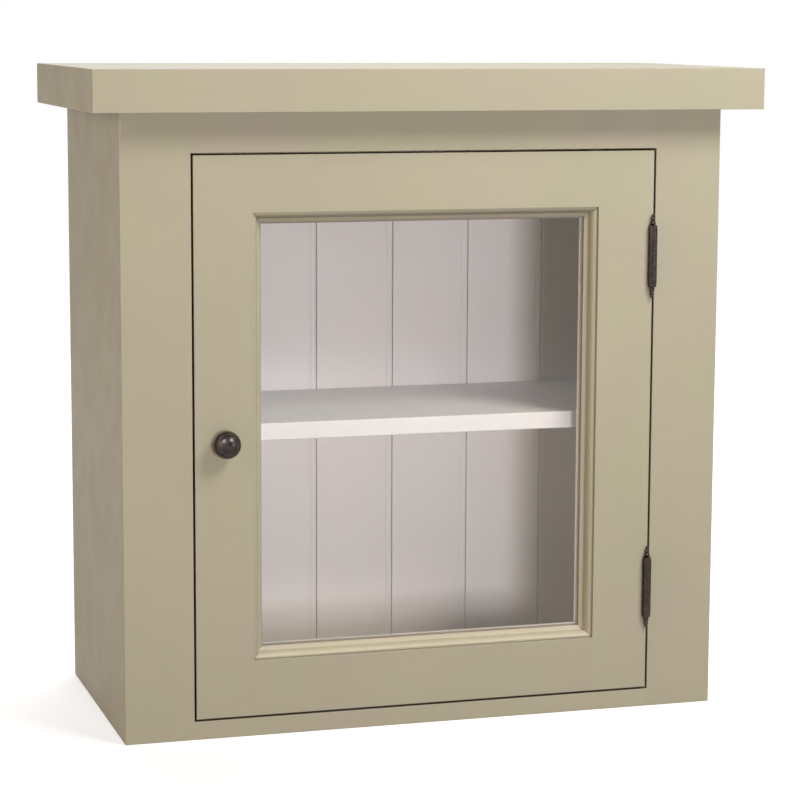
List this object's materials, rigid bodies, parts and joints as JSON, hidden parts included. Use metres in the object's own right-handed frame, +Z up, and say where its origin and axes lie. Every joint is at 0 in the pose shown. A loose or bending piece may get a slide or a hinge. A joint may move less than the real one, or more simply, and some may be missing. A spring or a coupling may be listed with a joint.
{
  "type": "glass-door wall cabinet",
  "caption": "Painted wall cabinet with a glazed inset door hung in a face frame, a fixed shelf, a tongue-and-groove back and a thick overhanging top board.",
  "frame": {"origin": "middle of the base plane, under the middle of the top board", "axes": "+X to the right along the top board, +Y from the door to the wall, +Z up"},
  "size_m": [0.6, 0.29, 0.581],
  "materials": {
    "paint_outside": "satin paint, sage",
    "paint_inside": "satin paint, off-white",
    "bare_wood": "planed",
    "bronze": "antique bronze",
    "steel": "zinc plated",
    "catch_plastic": "matte",
    "ferrite": "matte",
    "glass": "clear float glass"
  },
  "bodies": {
    "carcass": {"top_board": "paint_outside", "left_side": "paint_outside", "right_side": "paint_outside", "bottom_board": "paint_inside", "shelf": "paint_inside", "frame_stile_left": "paint_outside", "frame_stile_right": "paint_outside", "frame_rail_top": "paint_outside", "frame_rail_bottom": "paint_outside", "back_board_1": "paint_inside", "back_board_2": "paint_inside", "back_board_3": "paint_inside", "back_board_4": "paint_inside", "back_board_5": "paint_inside", "back_board_6": "paint_inside", "back_board_7": "paint_inside", "hanging_rail": "bare_wood", "lower_back_rail": "bare_wood", "top_batten_left": "paint_inside", "top_batten_right": "paint_inside", "top_board_screws": "steel", "batten_screws": "steel", "back_rail_screws": "steel", "frame_dowels": "bare_wood", "catch_block": "paint_inside", "catch_body": "catch_plastic", "catch_magnet": "ferrite", "catch_pole_plates": "steel", "catch_screws": "steel", "catch_block_screws": "steel", "upper_hinge_frame_leaf": "bronze", "lower_hinge_frame_leaf": "bronze", "hinge_pins": "steel", "hinge_lower_finials": "bronze", "frame_hinge_screws": "bronze"},
    "door": {"door_stile_knob": "paint_outside", "door_stile_hinge": "paint_outside", "door_rail_top": "paint_outside", "door_rail_bottom": "paint_outside", "moulding_left": "paint_outside", "moulding_right": "paint_outside", "moulding_top": "paint_outside", "moulding_bottom": "paint_outside", "glass_pane": "glass", "glazing_bead_left": "paint_inside", "glazing_bead_right": "paint_inside", "glazing_bead_top": "paint_inside", "glazing_bead_bottom": "paint_inside", "bead_pins": "steel", "knob": "bronze", "knob_screw": "steel", "upper_hinge_door_leaf": "bronze", "lower_hinge_door_leaf": "bronze", "hinge_upper_finials": "bronze", "door_hinge_screws": "bronze", "catch_strike": "steel", "catch_strike_screw": "steel"}
  },
  "joints": [
    {"name": "door_hinge", "type": "hinge", "parent": "carcass", "child": "door", "pos_m": [0.2084, -0.116, 0.263], "axis": [0, 0, 1], "range_deg": [0, 180]}
  ]
}
